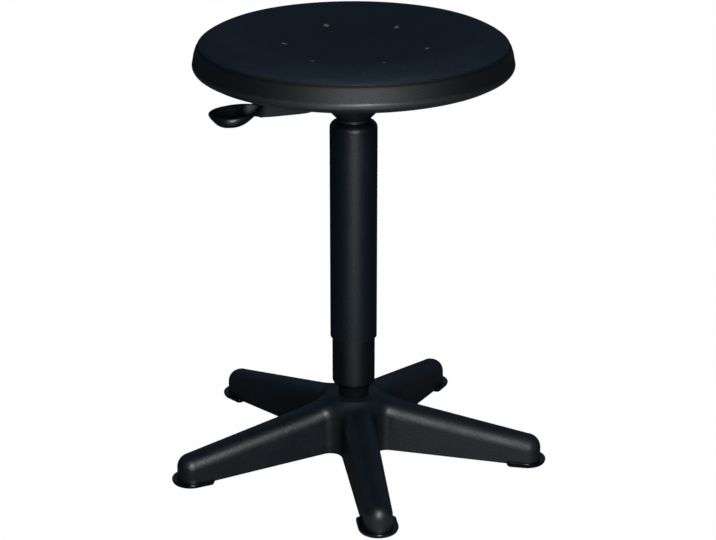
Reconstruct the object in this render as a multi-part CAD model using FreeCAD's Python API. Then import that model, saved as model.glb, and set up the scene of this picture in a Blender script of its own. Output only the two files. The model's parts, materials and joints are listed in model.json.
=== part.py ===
import FreeCAD, Part
import math
import os

V = FreeCAD.Vector

# Swivel stool, millimetres. The floor is z = 0, +Z is up, and the swivel axis is X = Y = 0.
# Heights are stacked from the floor, with the seat at its lowest setting.

# Fits, as radial gaps unless a comment says otherwise
RUNNING = 0.05
FIXED = 0.02
CLEARANCE = 0.3
BALL_GAP = 0.1
# Gap between two pieces that move past each other end to end
END_GAP = 0.3
# Handle length of a quarter round drawn as a curve, as a share of its radius
ROUND_PULL = 0.5523

# Star base
LEG_COUNT = 5
FIRST_LEG_DEG = 61.5
LEG_END_R = 207.5
LEG_END_HALF_WIDTH = 16.5
LEG_ROOT_R = 60.0
LEG_ROOT_HALF_WIDTH = 19.5
LEG_ROOT_TOP_Z = 62.5
LEG_END_TOP_Z = 34.0
LEG_UNDERSIDE_Z = 8.5
LEG_UNDERSIDE_R = 50.0
LEG_DRAFT_DEG = 1.5
LEG_WALL = 4.0
LEG_CROWN_R = 16.0
# Largest share of a leg end's half width that the crown's rounding takes
CROWN_LIMIT = 0.97
# How far each way the bend between the hub's slope and a leg's slope reaches
ROOT_BLEND = 8.0
# How upright a face's normal is on the legs' walls at most, and on their tops at least
WALL_NORMAL_Z = 0.3
TOP_NORMAL_Z = 0.7
WEB_R = 14.0
HUB_TOP_Z = 71.0
HUB_TOP_R = 30.0
HUB_WALL = 5.0
RIB_THICKNESS = 3.0
RIB_RECESS = 4.0
RIB_RADII = (75.0, 108.0, 141.0, 172.0)

# Steel ring in the hub
HUB_RING_WALL = 4.0
HUB_RING_DEPTH = 3.0

# Glides and their stems
GLIDE_SOLE = 2.4
GLIDE_HEIGHT = 4.8
GLIDE_LIP = 6.0
GLIDE_SIDE_LENGTH = 21.5
GLIDE_CORNER_R = 5.0
GLIDE_GROOVE_Z = 2.3
GLIDE_GROOVE_WIDTH = 0.6
GLIDE_GROOVE_DEPTH = 1.2
GLIDE_EDGE_R = 1.1
GLIDE_FOOT_R = 1.6
GLIDE_COLLAR_WIDTH = 1.7
GLIDE_COLLAR_RISE = 1.3
GLIDE_COLLAR_EDGE_R = 0.8
GLIDE_CLEARANCE = 0.15
STEM_R = 4.0
STEM_LENGTH = 22.0
STEM_INSET = 6.5
STEM_FLOOR = 1.2
STEM_BOSS_WALL = 4.0
GRIP_RING_WALL = 1.2
GRIP_RING_HEIGHT = 3.0
GRIP_RING_STAND = 0.5
GRIP_RING_DROP = 5.0

# Gas spring: a cylinder under the seat that slides on a rod held in the standpipe
CYLINDER_R = 14.0
CYLINDER_WALL = 1.8
TAPER_DEG = 1.3
ROD_R = 5.0
STROKE = 190.0
STROKE_SPARE = 8.0
PISTON_HEIGHT = 12.0
PISTON_SPIGOT_R = 3.5
PISTON_SEAL_DEPTH = 2.0
PISTON_SEAL_HEIGHT = 3.0
ROD_GUIDE_HEIGHT = 14.0
WIPER_HEIGHT = 4.0
VALVE_BODY_HEIGHT = 18.0
VALVE_PIN_R = 3.0
VALVE_PIN_PROUD = 6.0
VALVE_PIN_TRAVEL_ROOM = 6.0

# Standpipe
STAND_R = 25.0
STAND_WALL = 2.0
STAND_LENGTH = 290.0
NECK_SHOWN = 13.0
NECK_GAP = 0.6
NECK_FLOOR_Z = 18.0
NECK_FLOOR = 3.0
GUIDE_LENGTH = 75.0
GUIDE_FLANGE = 3.0

# Thrust bearing, bumper and clip on the rod
BALL_R = 2.0
BALL_COUNT = 10
BALL_CIRCLE_R = 9.8
WASHER_THICKNESS = 2.0
WASHER_R = 13.2
WASHER_GAP = 0.6
CAGE_THICKNESS = 1.6
CAGE_R = 12.6
COLLAR_R = 7.5
COLLAR_HEIGHT = 3.0
BUMPER_HEIGHT = 10.0
BUMPER_R = 12.0
CLIP_WASHER_R = 11.0
CLIP_WASHER_THICKNESS = 1.5
CLIP_R = 8.5
CLIP_THICKNESS = 1.5
CLIP_GROOVE = 1.2
ROD_TAIL = 2.0

# Protective sleeve
SLEEVE_GAP = 0.45
SLEEVE_WALL = 1.8
SLEEVE_LENGTH = 261.5
SLEEVE_SHOULDER_R = 8.0
HOLDER_HEIGHT = 13.0
HOLDER_CLEARANCE = 9.0

# Funnel-shaped carrier under the seat
SOCKET_WALL = 3.4
SOCKET_HEIGHT = 38.0
CYLINDER_PROUD = 2.0
FUNNEL_WALL = 1.6
FUNNEL_LIP_Z = 7.0
FUNNEL_LIP_HEIGHT = 4.0
FUNNEL_R = 42.0
FUNNEL_SLOPE_DEG = 45.0
PLATE_SIDE = 160.0
PLATE_CORNER_R = 18.0
PLATE_THICKNESS = 3.0
PLATE_BOLT_SPACING = 120.0
PLATE_FLOOR_GAP = 5.9

# Height lever
LEVER_AZIMUTH_DEG = 218.0
LEVER_TILT_DEG = 2.5
PIVOT_R = 28.6
PIVOT_PIN_R = 2.0
LEVER_ROD_R = 4.5
LEVER_ROD_OVERHANG = 4.0
LEVER_ROD_LENGTH = 112.0
SLOT_WIDTH = 14.0
SLOT_ROOM = 3.5
BRACKET_THICKNESS = 2.0
BRACKET_LENGTH = 14.0
BRACKET_SIDE_GAP = 3.0
ARM_START_R = 50.0
ARM_MID_R = 105.0
ARM_START_WIDTH = 15.0
ARM_START_RISE = 6.2
ARM_START_DROP = 23.0
ARM_MID_RISE = 6.5
ARM_MID_DROP = 15.0
ARM_END_WIDTH = 17.0
ARM_CORNER_R = 3.5
ARM_OVERLAP = 5.0
# Largest share of a section's half width that its rounding takes
ROUNDING_LIMIT = 0.8
PADDLE_R = 167.5
PADDLE_RIM_R = 24.5
PADDLE_FOOT_R = 13.0
PADDLE_DEPTH = 15.5
PADDLE_WALL = 2.4
PADDLE_RIM_RISE = 6.0

# Seat
BOARD_R = 148.0
BOARD_THICKNESS = 12.0
SEAT_R = 180.0
SEAT_HEIGHT = 48.6
SEAT_LIP_DROP = 1.0
SEAT_LIP_WIDTH = 24.5
SEAT_LIP_RISE = 18.0
SEAT_SKIRT_LEAN = 5.6
SEAT_SKIRT_TOP = 36.0
SEAT_CREST_INSET = 31.0
SEAT_DISH_DEPTH = 22.0
# Handles of the curves over the seat's edge, up and inward, and down into its dish
SEAT_EDGE_PULL = 6.0
SEAT_EDGE_LEAN = 3.3
SEAT_CREST_PULL = 2.6
DISH_RIM_PULL = 22.0
DISH_CENTRE_PULL = 105.0
VENT_COUNT = 6
VENT_CIRCLE_R = 86.0
VENT_R = 2.2
VENT_DEPTH = 4.0
FIRST_VENT_DEG = 52.0

# Bolts, washers and tee nuts between the carrier and the seat board
BOLT_R = 3.0
BOLT_HEAD_R = 5.6
BOLT_HEAD_HEIGHT = 4.0
BOLT_TIP = 10.0
BOLT_WASHER_R = 6.6
BOLT_WASHER_THICKNESS = 1.5
NUT_WALL = 1.2
NUT_FLANGE_R = 9.0
NUT_FLANGE_THICKNESS = 1.2
NUT_LENGTH = 10.0

# Heights and radii that follow from the sizes above
NECK_TOP_Z = HUB_TOP_Z + NECK_SHOWN
STAND_TOP_Z = NECK_TOP_Z + STAND_LENGTH
NECK_BOTTOM_R = CYLINDER_R + NECK_GAP + STAND_WALL
TAPER = math.tan(math.radians(TAPER_DEG))
BEARING_Z = NECK_FLOOR_Z + NECK_FLOOR
BALL_Z = BEARING_Z + WASHER_THICKNESS + BALL_GAP + BALL_R
UPPER_WASHER_Z = BALL_Z + BALL_R + BALL_GAP
ROD_COLLAR_Z = UPPER_WASHER_Z + WASHER_THICKNESS
BUMPER_Z = ROD_COLLAR_Z + COLLAR_HEIGHT
CYLINDER_BOTTOM_Z = BUMPER_Z + BUMPER_HEIGHT + END_GAP
CYLINDER_BORE_R = CYLINDER_R - CYLINDER_WALL
PISTON_Z = CYLINDER_BOTTOM_Z + ROD_GUIDE_HEIGHT + WIPER_HEIGHT + STROKE + STROKE_SPARE
CLIP_WASHER_Z = NECK_FLOOR_Z - END_GAP - CLIP_WASHER_THICKNESS
CLIP_Z = CLIP_WASHER_Z - CLIP_THICKNESS
HOLDER_Z = STAND_TOP_Z + GUIDE_FLANGE + HOLDER_CLEARANCE
SOCKET_Z = HOLDER_Z + HOLDER_HEIGHT
SOCKET_TOP_Z = SOCKET_Z + SOCKET_HEIGHT
CYLINDER_TOP_Z = SOCKET_TOP_Z + CYLINDER_PROUD
SOCKET_R = CYLINDER_R + SOCKET_WALL
VALVE_PIN_TOP_Z = CYLINDER_TOP_Z + VALVE_PIN_PROUD
LEVER_SLOPE = math.tan(math.radians(LEVER_TILT_DEG))
ROD_HALF_HEIGHT = LEVER_ROD_R / math.cos(math.radians(LEVER_TILT_DEG))
PIVOT_Z = VALVE_PIN_TOP_Z + END_GAP + ROD_HALF_HEIGHT - PIVOT_R * LEVER_SLOPE
PLATE_Z = PIVOT_Z + LEVER_ROD_R + PLATE_FLOOR_GAP
BOARD_Z = PLATE_Z + PLATE_THICKNESS
SEAT_Z = BOARD_Z - SEAT_LIP_DROP
SLEEVE_BORE_R = STAND_R + SLEEVE_GAP
SLEEVE_R = SLEEVE_BORE_R + SLEEVE_WALL


def leg_angles():
    return [FIRST_LEG_DEG + k * 360 / LEG_COUNT for k in range(LEG_COUNT)]


def turned(shape, degrees):
    copy = shape.copy()
    copy.rotate(V(0, 0, 0), V(0, 0, 1), degrees)
    return copy


def moved(shape, x=0, y=0, z=0):
    copy = shape.copy()
    copy.translate(V(x, y, z))
    return copy


def cylinder(radius, z_low, z_high, x=0, y=0):
    return Part.makeCylinder(radius, z_high - z_low, V(x, y, z_low))


def ring(inner_r, outer_r, z_low, z_high, x=0, y=0):
    return cylinder(outer_r, z_low, z_high, x, y).cut(cylinder(inner_r, z_low - 1, z_high + 1, x, y))


def box(x_low, x_high, y_low, y_high, z_low, z_high):
    return Part.makeBox(x_high - x_low, y_high - y_low, z_high - z_low, V(x_low, y_low, z_low))


def revolved(points):
    """Solid of revolution about Z from (radius, height) corners."""
    corners = [V(r, 0, z) for r, z in points]
    face = Part.Face(Part.makePolygon(corners + corners[:1]))
    return face.revolve(V(0, 0, 0), V(0, 0, 1), 360)


def revolved_outline(edges):
    """Solid of revolution about Z from edges that close an outline in the XZ plane."""
    return Part.Face(Part.Wire(edges)).revolve(V(0, 0, 0), V(0, 0, 1), 360)


def line(start, end):
    return Part.LineSegment(V(start[0], 0, start[1]), V(end[0], 0, end[1])).toShape()


def quarter(start, centre, end):
    """Quarter arc in the XZ plane, through the point half way round."""
    radius = math.hypot(start[0] - centre[0], start[1] - centre[1])
    half_x = start[0] + end[0] - 2 * centre[0]
    half_z = start[1] + end[1] - 2 * centre[1]
    scale = radius / math.hypot(half_x, half_z)
    middle = V(centre[0] + half_x * scale, 0, centre[1] + half_z * scale)
    return Part.Arc(V(start[0], 0, start[1]), middle, V(end[0], 0, end[1])).toShape()


def bezier(points):
    curve = Part.BezierCurve()
    curve.setPoles([V(r, 0, z) for r, z in points])
    return curve.toShape()


def neck_radius(z):
    """Outside radius of the standpipe's tapered neck."""
    return NECK_BOTTOM_R + (z - NECK_FLOOR_Z) * TAPER


def cylinder_taper_radius(z):
    """Outside radius of the gas cylinder's tapered top."""
    return CYLINDER_R - (z - SOCKET_Z) * TAPER


def lever_axis_z(r):
    """Height of the lever rod's axis at a distance from the swivel axis."""
    return PIVOT_Z - (r - PIVOT_R) * LEVER_SLOPE


# Star base: one outline of straight tapered legs, round ends and round webs between the legs

def leg_outline(inset, z):
    """Closed outline of the whole star at height z, moved inwards by inset."""
    lean = math.atan((LEG_ROOT_HALF_WIDTH - LEG_END_HALF_WIDTH) / (LEG_END_R - LEG_ROOT_R))
    side = (math.sin(lean), math.cos(lean))
    side_distance = LEG_ROOT_R * side[0] + LEG_ROOT_HALF_WIDTH * side[1] - inset
    end_r = side_distance - LEG_END_R * side[0]
    web_r = WEB_R + inset
    half_pitch = math.pi / LEG_COUNT
    web_distance = (side_distance + web_r) / math.sin(half_pitch + lean)
    web_centre = (web_distance * math.cos(half_pitch), web_distance * math.sin(half_pitch))
    root = (web_centre[0] - web_r * side[0], web_centre[1] - web_r * side[1])
    tip = (LEG_END_R + end_r * side[0], end_r * side[1])
    web_reach = web_distance - web_r
    edges = []
    for angle in leg_angles():
        def at(x, y, turn=0.0):
            point = V(x, y, z)
            return FreeCAD.Rotation(V(0, 0, 1), angle + turn).multVec(point)
        web_middle = at(web_reach * math.cos(half_pitch), web_reach * math.sin(half_pitch))
        next_root = at(root[0], -root[1], 360 / LEG_COUNT)
        edges.append(Part.LineSegment(at(root[0], -root[1]), at(tip[0], -tip[1])).toShape())
        edges.append(Part.Arc(at(tip[0], -tip[1]), at(LEG_END_R + end_r, 0), at(*tip)).toShape())
        edges.append(Part.LineSegment(at(*tip), at(*root)).toShape())
        edges.append(Part.Arc(at(*root), web_middle, next_root).toShape())
    return Part.Wire(edges)


def leg_prism(inset, z_low, z_high):
    """Star outline drawn up with the moulding draft, which is nil at the leg's foot."""
    draft = math.tan(math.radians(LEG_DRAFT_DEG))
    low = leg_outline(inset + (z_low - GLIDE_SOLE) * draft, z_low)
    high = leg_outline(inset + (z_high - GLIDE_SOLE) * draft, z_high)
    return Part.makeLoft([low, high], True, True)


def star_roof(drop):
    """Everything under the star's sloping top, lowered by drop."""
    far_r = LEG_END_R + LEG_END_HALF_WIDTH + GLIDE_LIP
    leg_slope = (LEG_ROOT_TOP_Z - LEG_END_TOP_Z) / (LEG_END_R - LEG_ROOT_R)
    hub_slope = (HUB_TOP_Z - LEG_ROOT_TOP_Z) / (LEG_ROOT_R - HUB_TOP_R)
    root_z = LEG_ROOT_TOP_Z - drop
    far = (far_r, root_z - leg_slope * (far_r - LEG_ROOT_R))
    outer = (LEG_ROOT_R + ROOT_BLEND, root_z - leg_slope * ROOT_BLEND)
    inner = (LEG_ROOT_R - ROOT_BLEND, root_z + hub_slope * ROOT_BLEND)
    hub_edge = (HUB_TOP_R, HUB_TOP_Z - drop)
    hub_centre = (0, HUB_TOP_Z - drop)
    low_far = (far_r, -HUB_TOP_Z)
    low_centre = (0, -HUB_TOP_Z)
    return revolved_outline([line(low_centre, low_far), line(low_far, far), line(far, outer),
                             bezier([outer, (LEG_ROOT_R, root_z), inner]), line(inner, hub_edge),
                             line(hub_edge, hub_centre), line(hub_centre, low_centre)])


def crown_edges(solid):
    """Edges where the sloping top meets the upright walls."""
    edges = []
    for edge in solid.Edges:
        middle = edge.valueAt((edge.FirstParameter + edge.LastParameter) / 2)
        steepness = []
        for face in solid.ancestorsOfType(edge, Part.Face):
            u, v = face.Surface.parameter(middle)
            steepness.append(abs(face.normalAt(u, v).z))
        if middle.z > 0 and min(steepness) < WALL_NORMAL_Z and max(steepness) > TOP_NORMAL_Z:
            edges.append(edge)
    return edges


def star_body(inset, drop):
    """The star as a block, with its crowned top, inset and lowered to give walls."""
    block = leg_prism(inset, -LEG_WALL, HUB_TOP_Z + LEG_WALL).common(star_roof(drop)).Solids[0]
    draft = math.tan(math.radians(LEG_DRAFT_DEG))
    top_half_width = LEG_END_HALF_WIDTH - (LEG_END_TOP_Z - GLIDE_SOLE) * draft
    crown_r = min(LEG_CROWN_R, CROWN_LIMIT * top_half_width)
    return block.makeFillet(crown_r - inset, crown_edges(block))


def underside():
    """Space below the star: flat over the glides, then rising to the hub."""
    flat_r = LEG_END_R - GLIDE_SIDE_LENGTH
    far_r = LEG_END_R + 2 * LEG_END_HALF_WIDTH
    low = -HUB_TOP_Z
    return revolved([(0, low), (far_r, low), (far_r, GLIDE_SOLE), (flat_r, GLIDE_SOLE),
                     (LEG_UNDERSIDE_R, LEG_UNDERSIDE_Z), (0, LEG_UNDERSIDE_Z)])


def star_base():
    stem_r = LEG_END_R - STEM_INSET
    boss_r = STEM_R + GRIP_RING_STAND + STEM_BOSS_WALL
    hub_r = neck_radius(HUB_TOP_Z) + HUB_RING_WALL + HUB_WALL
    cavity = star_body(LEG_WALL, LEG_WALL).cut(cylinder(hub_r, -HUB_TOP_Z, HUB_TOP_Z))
    for angle in leg_angles():
        web = box(hub_r - 1, stem_r, -RIB_THICKNESS / 2, RIB_THICKNESS / 2,
                  RIB_RECESS + GLIDE_SOLE, HUB_TOP_Z)
        cavity = cavity.cut(turned(web, angle))
        cavity = cavity.cut(turned(cylinder(boss_r, -HUB_TOP_Z, HUB_TOP_Z, stem_r), angle))
        for radius in RIB_RADII:
            rib = box(radius - RIB_THICKNESS / 2, radius + RIB_THICKNESS / 2,
                      -LEG_ROOT_HALF_WIDTH, LEG_ROOT_HALF_WIDTH, RIB_RECESS + LEG_UNDERSIDE_Z, HUB_TOP_Z)
            cavity = cavity.cut(turned(rib, angle))
    star = star_body(0, 0).cut(underside()).cut(cavity)
    star = star.cut(cylinder(neck_radius(HUB_TOP_Z) + HUB_RING_WALL, -1, HUB_TOP_Z - HUB_RING_DEPTH))
    star = star.cut(cylinder(neck_radius(HUB_TOP_Z) + CLEARANCE, 0, HUB_TOP_Z + 1))
    stem_top = STEM_FLOOR + STEM_LENGTH
    for angle in leg_angles():
        hole = cylinder(STEM_R + GRIP_RING_STAND, 0, stem_top + END_GAP, stem_r)
        star = star.cut(turned(hole, angle))
    return star.removeSplitter()


def hub_ring():
    outer_r = neck_radius(HUB_TOP_Z) + HUB_RING_WALL - FIXED
    low = (LEG_UNDERSIDE_Z + NECK_FLOOR_Z) / 2
    high = HUB_TOP_Z - HUB_RING_DEPTH
    return revolved([(neck_radius(low) + FIXED, low), (outer_r, low),
                     (outer_r, high), (neck_radius(high) + FIXED, high)])


# Glides: a horseshoe shoe under each leg end, with a steel stem pressed into the leg

def glide_outline(half_width, length):
    """Horseshoe plate: half circle outside, straight sides, rounded inner corners."""
    corner = GLIDE_CORNER_R
    turn = corner * (1 - math.sqrt(0.5))
    x0 = LEG_END_R - length
    x1 = LEG_END_R

    def at(x, y):
        return V(x, y, 0)
    edges = [
        Part.LineSegment(at(x0 + corner, -half_width), at(x1, -half_width)).toShape(),
        Part.Arc(at(x1, -half_width), at(x1 + half_width, 0), at(x1, half_width)).toShape(),
        Part.LineSegment(at(x1, half_width), at(x0 + corner, half_width)).toShape(),
        Part.Arc(at(x0 + corner, half_width), at(x0 + turn, half_width - turn),
                 at(x0, half_width - corner)).toShape(),
        Part.LineSegment(at(x0, half_width - corner), at(x0, corner - half_width)).toShape(),
        Part.Arc(at(x0, corner - half_width), at(x0 + turn, turn - half_width),
                 at(x0 + corner, -half_width)).toShape(),
    ]
    return Part.Face(Part.Wire(edges))


def glide_layer(inset, z_low, z_high):
    half_width = LEG_END_HALF_WIDTH + GLIDE_LIP - inset
    face = moved(glide_outline(half_width, GLIDE_SIDE_LENGTH - inset), z=z_low)
    return face.extrude(V(0, 0, z_high - z_low))


def glide_collar():
    """Rounded bead that stands on the glide's flange, round the leg."""
    top_z = GLIDE_HEIGHT + GLIDE_COLLAR_RISE
    band = leg_prism(-GLIDE_CLEARANCE - GLIDE_COLLAR_WIDTH, GLIDE_SOLE, top_z)
    band = band.common(glide_layer(0, GLIDE_SOLE, top_z))
    rim = [edge for edge in band.Edges if edge.BoundBox.ZMin > top_z - 0.01]
    return band.makeFillet(GLIDE_COLLAR_EDGE_R, rim)


def glide(angle):
    groove_top = GLIDE_GROOVE_Z + GLIDE_GROOVE_WIDTH
    upper = glide_layer(0, groove_top, GLIDE_HEIGHT)
    rim = [edge for edge in upper.Edges if edge.BoundBox.ZMin > GLIDE_HEIGHT - 0.01]
    upper = upper.makeFillet(GLIDE_EDGE_R, rim)
    lower = glide_layer(GLIDE_EDGE_R / 2, 0, GLIDE_GROOVE_Z)
    foot = [edge for edge in lower.Edges if edge.BoundBox.ZMax < 0.01]
    lower = lower.makeFillet(GLIDE_FOOT_R, foot)
    core = glide_layer(GLIDE_GROOVE_DEPTH, GLIDE_GROOVE_Z / 2, groove_top + 1)
    shoe = turned(upper.fuse([lower, core, glide_collar()]), angle)
    shoe = shoe.cut(leg_prism(-GLIDE_CLEARANCE, GLIDE_SOLE, HUB_TOP_Z))
    stem = cylinder(STEM_R + FIXED, STEM_FLOOR, HUB_TOP_Z, LEG_END_R - STEM_INSET)
    return shoe.cut(turned(stem, angle)).removeSplitter()


def ring_groove_z():
    return STEM_FLOOR + STEM_LENGTH - GRIP_RING_DROP - GRIP_RING_HEIGHT


def glide_stem(angle):
    x = LEG_END_R - STEM_INSET
    low = ring_groove_z()
    stem = cylinder(STEM_R, STEM_FLOOR, STEM_FLOOR + STEM_LENGTH, x)
    inner_r = STEM_R + GRIP_RING_STAND - GRIP_RING_WALL - FIXED
    groove = ring(inner_r, STEM_R + 1, low - FIXED, low + GRIP_RING_HEIGHT + FIXED, x)
    return turned(stem.cut(groove), angle)


def grip_ring(angle):
    x = LEG_END_R - STEM_INSET
    low = ring_groove_z()
    outer_r = STEM_R + GRIP_RING_STAND - FIXED
    band = ring(outer_r - GRIP_RING_WALL + FIXED, outer_r, low, low + GRIP_RING_HEIGHT, x)
    slit = box(x, x + 2 * STEM_R, -GRIP_RING_WALL / 2, GRIP_RING_WALL / 2,
               low - 1, low + GRIP_RING_HEIGHT + 1)
    return turned(band.cut(slit), angle)


# Standpipe: a steel tube, necked and tapered at the bottom

def standpipe():
    neck_r = neck_radius(NECK_TOP_Z)
    corner = STAND_R - neck_r
    shoulder_z = NECK_TOP_Z + corner
    inner_r = STAND_R - STAND_WALL
    inner_neck = (neck_r - STAND_WALL, NECK_TOP_Z + STAND_WALL)
    floor_r = neck_radius(BEARING_Z) - STAND_WALL
    hole_r = ROD_R + CLEARANCE
    foot = (neck_radius(NECK_FLOOR_Z), NECK_FLOOR_Z)
    return revolved_outline([
        line(foot, (neck_r, NECK_TOP_Z)),
        quarter((neck_r, NECK_TOP_Z), (neck_r, shoulder_z), (STAND_R, shoulder_z)),
        line((STAND_R, shoulder_z), (STAND_R, STAND_TOP_Z)),
        line((STAND_R, STAND_TOP_Z), (inner_r, STAND_TOP_Z)),
        line((inner_r, STAND_TOP_Z), (inner_r, shoulder_z)),
        line((inner_r, shoulder_z), inner_neck),
        line(inner_neck, (floor_r, BEARING_Z)),
        line((floor_r, BEARING_Z), (hole_r, BEARING_Z)),
        line((hole_r, BEARING_Z), (hole_r, NECK_FLOOR_Z)),
        line((hole_r, NECK_FLOOR_Z), foot),
    ])


def guide_bush():
    """Plastic bush in the standpipe's mouth, in which the gas cylinder slides and turns."""
    inner_r = CYLINDER_R + RUNNING
    barrel = ring(inner_r, STAND_R - STAND_WALL - FIXED, STAND_TOP_Z - GUIDE_LENGTH, STAND_TOP_Z)
    flange = ring(inner_r, STAND_R - FIXED, STAND_TOP_Z, STAND_TOP_Z + GUIDE_FLANGE)
    return barrel.fuse(flange).removeSplitter()


# Thrust bearing, rod and gas cylinder

def ball_places():
    for k in range(BALL_COUNT):
        angle = 2 * math.pi * k / BALL_COUNT
        yield BALL_CIRCLE_R * math.cos(angle), BALL_CIRCLE_R * math.sin(angle)


def bearing_washer(z):
    return ring(ROD_R + WASHER_GAP, WASHER_R, z, z + WASHER_THICKNESS)


def bearing_cage():
    low = BALL_Z - CAGE_THICKNESS / 2
    cage = ring(ROD_R + WASHER_GAP, CAGE_R, low, low + CAGE_THICKNESS)
    for x, y in ball_places():
        cage = cage.cut(cylinder(BALL_R + BALL_GAP, low - 1, low + CAGE_THICKNESS + 1, x, y))
    return cage


def bearing_balls():
    return Part.makeCompound([Part.makeSphere(BALL_R, V(x, y, BALL_Z)) for x, y in ball_places()])


def piston_rod():
    tail_z = CLIP_Z - ROD_TAIL
    rod = cylinder(ROD_R, tail_z, PISTON_Z)
    rod = rod.fuse(cylinder(COLLAR_R, ROD_COLLAR_Z, ROD_COLLAR_Z + COLLAR_HEIGHT))
    rod = rod.fuse(cylinder(PISTON_SPIGOT_R, PISTON_Z, PISTON_Z + PISTON_HEIGHT))
    groove = ring(ROD_R - CLIP_GROOVE, ROD_R + 1, CLIP_Z, CLIP_Z + CLIP_THICKNESS)
    return rod.cut(groove).removeSplitter()


def clip_washer():
    return ring(ROD_R + FIXED, CLIP_WASHER_R, CLIP_WASHER_Z, CLIP_WASHER_Z + CLIP_WASHER_THICKNESS)


def retaining_clip():
    """Open spring clip in the rod's groove."""
    clip = ring(ROD_R - CLIP_GROOVE + FIXED, CLIP_R, CLIP_Z + FIXED, CLIP_Z + CLIP_THICKNESS - FIXED)
    mouth_half = ROD_R - CLIP_GROOVE
    return clip.cut(box(0, 2 * CLIP_R, -mouth_half, mouth_half, CLIP_Z - 1, CLIP_Z + CLIP_THICKNESS + 1))


def rubber_bumper():
    return ring(ROD_R + FIXED, BUMPER_R, BUMPER_Z, BUMPER_Z + BUMPER_HEIGHT)


def piston():
    low = PISTON_Z + (PISTON_HEIGHT - PISTON_SEAL_HEIGHT) / 2
    outer_r = CYLINDER_BORE_R - RUNNING
    body = ring(PISTON_SPIGOT_R + FIXED, outer_r, PISTON_Z, PISTON_Z + PISTON_HEIGHT)
    groove = ring(outer_r - PISTON_SEAL_DEPTH, outer_r + 1, low, low + PISTON_SEAL_HEIGHT)
    return body.cut(groove)


def piston_seal():
    low = PISTON_Z + (PISTON_HEIGHT - PISTON_SEAL_HEIGHT) / 2
    outer_r = CYLINDER_BORE_R - RUNNING
    return ring(outer_r - PISTON_SEAL_DEPTH + FIXED, outer_r, low + FIXED, low + PISTON_SEAL_HEIGHT - FIXED)


def gas_cylinder():
    """Outer tube, plain below and tapered where it sits in the seat's socket."""
    top_r = cylinder_taper_radius(CYLINDER_TOP_Z)
    return revolved([(CYLINDER_BORE_R, CYLINDER_BOTTOM_Z), (CYLINDER_R, CYLINDER_BOTTOM_Z),
                     (CYLINDER_R, SOCKET_Z), (top_r, CYLINDER_TOP_Z),
                     (top_r - CYLINDER_WALL, CYLINDER_TOP_Z), (CYLINDER_BORE_R, SOCKET_Z)])


def rod_guide():
    high = CYLINDER_BOTTOM_Z + ROD_GUIDE_HEIGHT
    return ring(ROD_R + RUNNING, CYLINDER_BORE_R - FIXED, CYLINDER_BOTTOM_Z, high)


def wiper_seal():
    low = CYLINDER_BOTTOM_Z + ROD_GUIDE_HEIGHT
    return ring(ROD_R + RUNNING, CYLINDER_BORE_R - FIXED, low, low + WIPER_HEIGHT)


def valve_body():
    """Plug in the tapered end, bored for the valve pin."""
    low = CYLINDER_TOP_Z - VALVE_BODY_HEIGHT
    shrink = CYLINDER_WALL + FIXED
    plug = revolved([(0, low), (cylinder_taper_radius(low) - shrink, low),
                     (cylinder_taper_radius(CYLINDER_TOP_Z) - shrink, CYLINDER_TOP_Z), (0, CYLINDER_TOP_Z)])
    return plug.cut(cylinder(VALVE_PIN_R + RUNNING, low - 1, CYLINDER_TOP_Z + 1))


def valve_pin():
    low = CYLINDER_TOP_Z - VALVE_BODY_HEIGHT - VALVE_PIN_TRAVEL_ROOM
    return cylinder(VALVE_PIN_R, low, VALVE_PIN_TOP_Z)


# Protective sleeve and the ring that holds it on the gas cylinder

def protective_sleeve():
    top_z = SOCKET_Z + SLEEVE_SHOULDER_R
    low_z = top_z - SLEEVE_LENGTH
    mouth_r = SLEEVE_R - SLEEVE_SHOULDER_R
    inner_turn = SLEEVE_SHOULDER_R - SLEEVE_WALL
    centre = (mouth_r, SOCKET_Z)
    return revolved_outline([
        line((SLEEVE_BORE_R, low_z), (SLEEVE_R, low_z)),
        line((SLEEVE_R, low_z), (SLEEVE_R, SOCKET_Z)),
        quarter((SLEEVE_R, SOCKET_Z), centre, (mouth_r, top_z)),
        line((mouth_r, top_z), (mouth_r, top_z - SLEEVE_WALL)),
        quarter((mouth_r, SOCKET_Z + inner_turn), centre, (SLEEVE_BORE_R, SOCKET_Z)),
        line((SLEEVE_BORE_R, SOCKET_Z), (SLEEVE_BORE_R, low_z)),
    ])


def sleeve_holder():
    return ring(CYLINDER_R + FIXED, SLEEVE_BORE_R - FIXED, HOLDER_Z, SOCKET_Z)


# Carrier under the seat: tapered socket, funnel and plate

def taper_socket():
    low_r = cylinder_taper_radius(SOCKET_Z) + FIXED
    top_r = cylinder_taper_radius(SOCKET_TOP_Z) + FIXED
    return revolved([(low_r, SOCKET_Z), (SOCKET_R, SOCKET_Z),
                     (SOCKET_R, SOCKET_TOP_Z), (top_r, SOCKET_TOP_Z)])


def seat_funnel():
    slope = math.tan(math.radians(FUNNEL_SLOPE_DEG))
    lip_r = SOCKET_R + FIXED + FUNNEL_WALL
    lip_z = SOCKET_Z + FUNNEL_LIP_Z
    cone_z = lip_z + FUNNEL_LIP_HEIGHT
    rim_z = cone_z + (FUNNEL_R - lip_r) * slope
    drop = FUNNEL_WALL * (math.hypot(1, slope) - 1)
    funnel = revolved([
        (lip_r - FUNNEL_WALL, lip_z), (lip_r, lip_z), (lip_r, cone_z),
        (FUNNEL_R, rim_z), (FUNNEL_R, PLATE_Z), (FUNNEL_R - FUNNEL_WALL, PLATE_Z),
        (FUNNEL_R - FUNNEL_WALL, rim_z + drop / slope), (lip_r - FUNNEL_WALL, cone_z + drop / slope),
    ])
    slot = box(0, FUNNEL_R + 1, -SLOT_WIDTH / 2, SLOT_WIDTH / 2,
               lever_axis_z(FUNNEL_R) - LEVER_ROD_R - SLOT_ROOM, PLATE_Z - 1)
    return funnel.cut(turned(slot, LEVER_AZIMUTH_DEG))


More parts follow.
